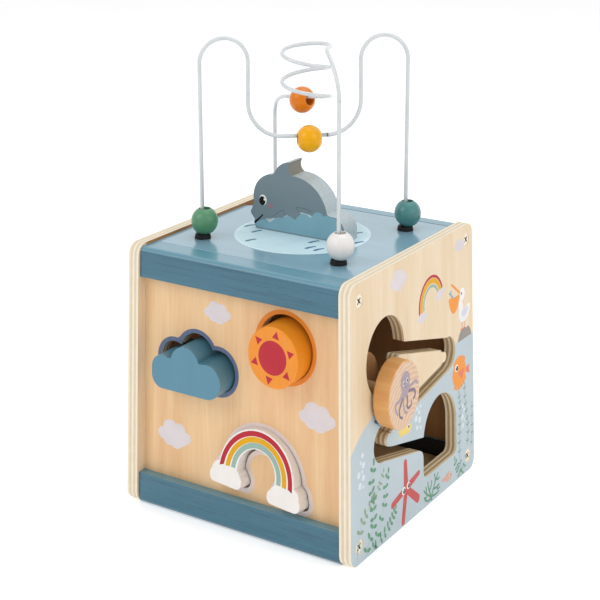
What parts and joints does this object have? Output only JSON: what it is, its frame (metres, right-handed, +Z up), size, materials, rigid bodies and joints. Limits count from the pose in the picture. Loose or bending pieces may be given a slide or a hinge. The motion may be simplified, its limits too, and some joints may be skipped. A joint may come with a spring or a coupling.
{
  "type": "shape sorter activity cube",
  "caption": "Wooden cube with shape-sorter front, slot-maze side, retrieval arch and a lift-off top with bead wires and a dolphin.",
  "frame": {"origin": "centre of the square footprint, on the floor", "axes": "+Z up, +X along the sorter front towards the maze side, the sorter front faces -Y"},
  "size_m": [0.2005, 0.1903, 0.3246],
  "materials": {
    "side_birch": "satin clear lacquer on birch ply",
    "front_birch": "satin clear lacquer on birch ply",
    "blue_stain": "satin blue stain",
    "top_blue": "semi-gloss blue paint",
    "screw_steel": "zinc plated",
    "bush_rubber": "black",
    "wire_coat": "pale grey coating",
    "dolphin_grey": "satin paint",
    "dowel_wood": "raw",
    "cloud_blue": "satin paint",
    "sun_orange": "satin paint",
    "rainbow_white": "satin paint",
    "knob_wood": "satin clear lacquer",
    "bead_green": "gloss paint",
    "bead_teal": "gloss paint",
    "bead_white": "gloss paint",
    "bead_yellow": "gloss paint",
    "bead_orange": "gloss paint"
  },
  "bodies": {
    "case": {"right_side_panel": "side_birch", "left_side_panel": "side_birch", "front_panel": "front_birch", "back_panel": "front_birch", "floor_panel": "front_birch", "top_front_rail": "blue_stain", "top_back_rail": "blue_stain", "bottom_front_rail": "blue_stain", "bottom_back_rail": "blue_stain", "right_side_screws": "screw_steel", "left_side_screws": "screw_steel"},
    "lid": {"top_panel": "top_blue", "wire_grommets": "bush_rubber", "wave_wire": "wire_coat", "spiral_wire": "wire_coat", "dolphin": "dolphin_grey", "dolphin_dowels": "dowel_wood"},
    "cloud": {"cloud_block": "cloud_blue"},
    "sun": {"sun_block": "sun_orange"},
    "rainbow": {"rainbow_block": "rainbow_white"},
    "slider": {"slider_knob": "knob_wood", "slider_neck": "dowel_wood", "slider_back_disc": "dowel_wood"},
    "green_bead_body": {"green_bead": "bead_green"},
    "teal_bead_body": {"teal_bead": "bead_teal"},
    "white_bead_body": {"white_bead": "bead_white"},
    "yellow_bead_body": {"yellow_bead": "bead_yellow"},
    "orange_bead_body": {"orange_bead": "bead_orange"}
  },
  "joints": [
    {"name": "lid_lift", "type": "slide", "parent": "case", "child": "lid", "axis": [0, 0, 1], "range_m": [0, 0.06]},
    {"name": "cloud_slide", "type": "slide", "parent": "case", "child": "cloud", "axis": [0, -1, 0], "range_m": [-0.04, 0.05]},
    {"name": "sun_slide", "type": "slide", "parent": "case", "child": "sun", "axis": [0, -1, 0], "range_m": [-0.04, 0.05]},
    {"name": "rainbow_slide", "type": "slide", "parent": "case", "child": "rainbow", "axis": [0, -0.9903, 0.1392], "range_m": [-0.03, 0.05]},
    {"name": "slider_travel", "type": "slide", "parent": "case", "child": "slider", "axis": [0, 0, 1], "range_m": [0, 0.045]},
    {"name": "green_bead_slide", "type": "slide", "parent": "lid", "child": "green_bead_body", "axis": [-0.0182, -0.0151, 0.9997], "range_m": [0, 0.1]},
    {"name": "teal_bead_slide", "type": "slide", "parent": "lid", "child": "teal_bead_body", "axis": [0.0182, 0.0151, 0.9997], "range_m": [0, 0.1]},
    {"name": "white_bead_slide", "type": "slide", "parent": "lid", "child": "white_bead_body", "axis": [0.0181, -0.0151, 0.9997], "range_m": [0, 0.088]},
    {"name": "yellow_bead_slide", "type": "slide", "parent": "lid", "child": "yellow_bead_body", "axis": [0.7687, 0.6396, 0], "range_m": [-0.011, 0.004]},
    {"name": "orange_bead_slide", "type": "slide", "parent": "lid", "child": "orange_bead_body", "axis": [-0.9526, 0.2702, -0.1398], "range_m": [-0.014, 0.006]}
  ]
}
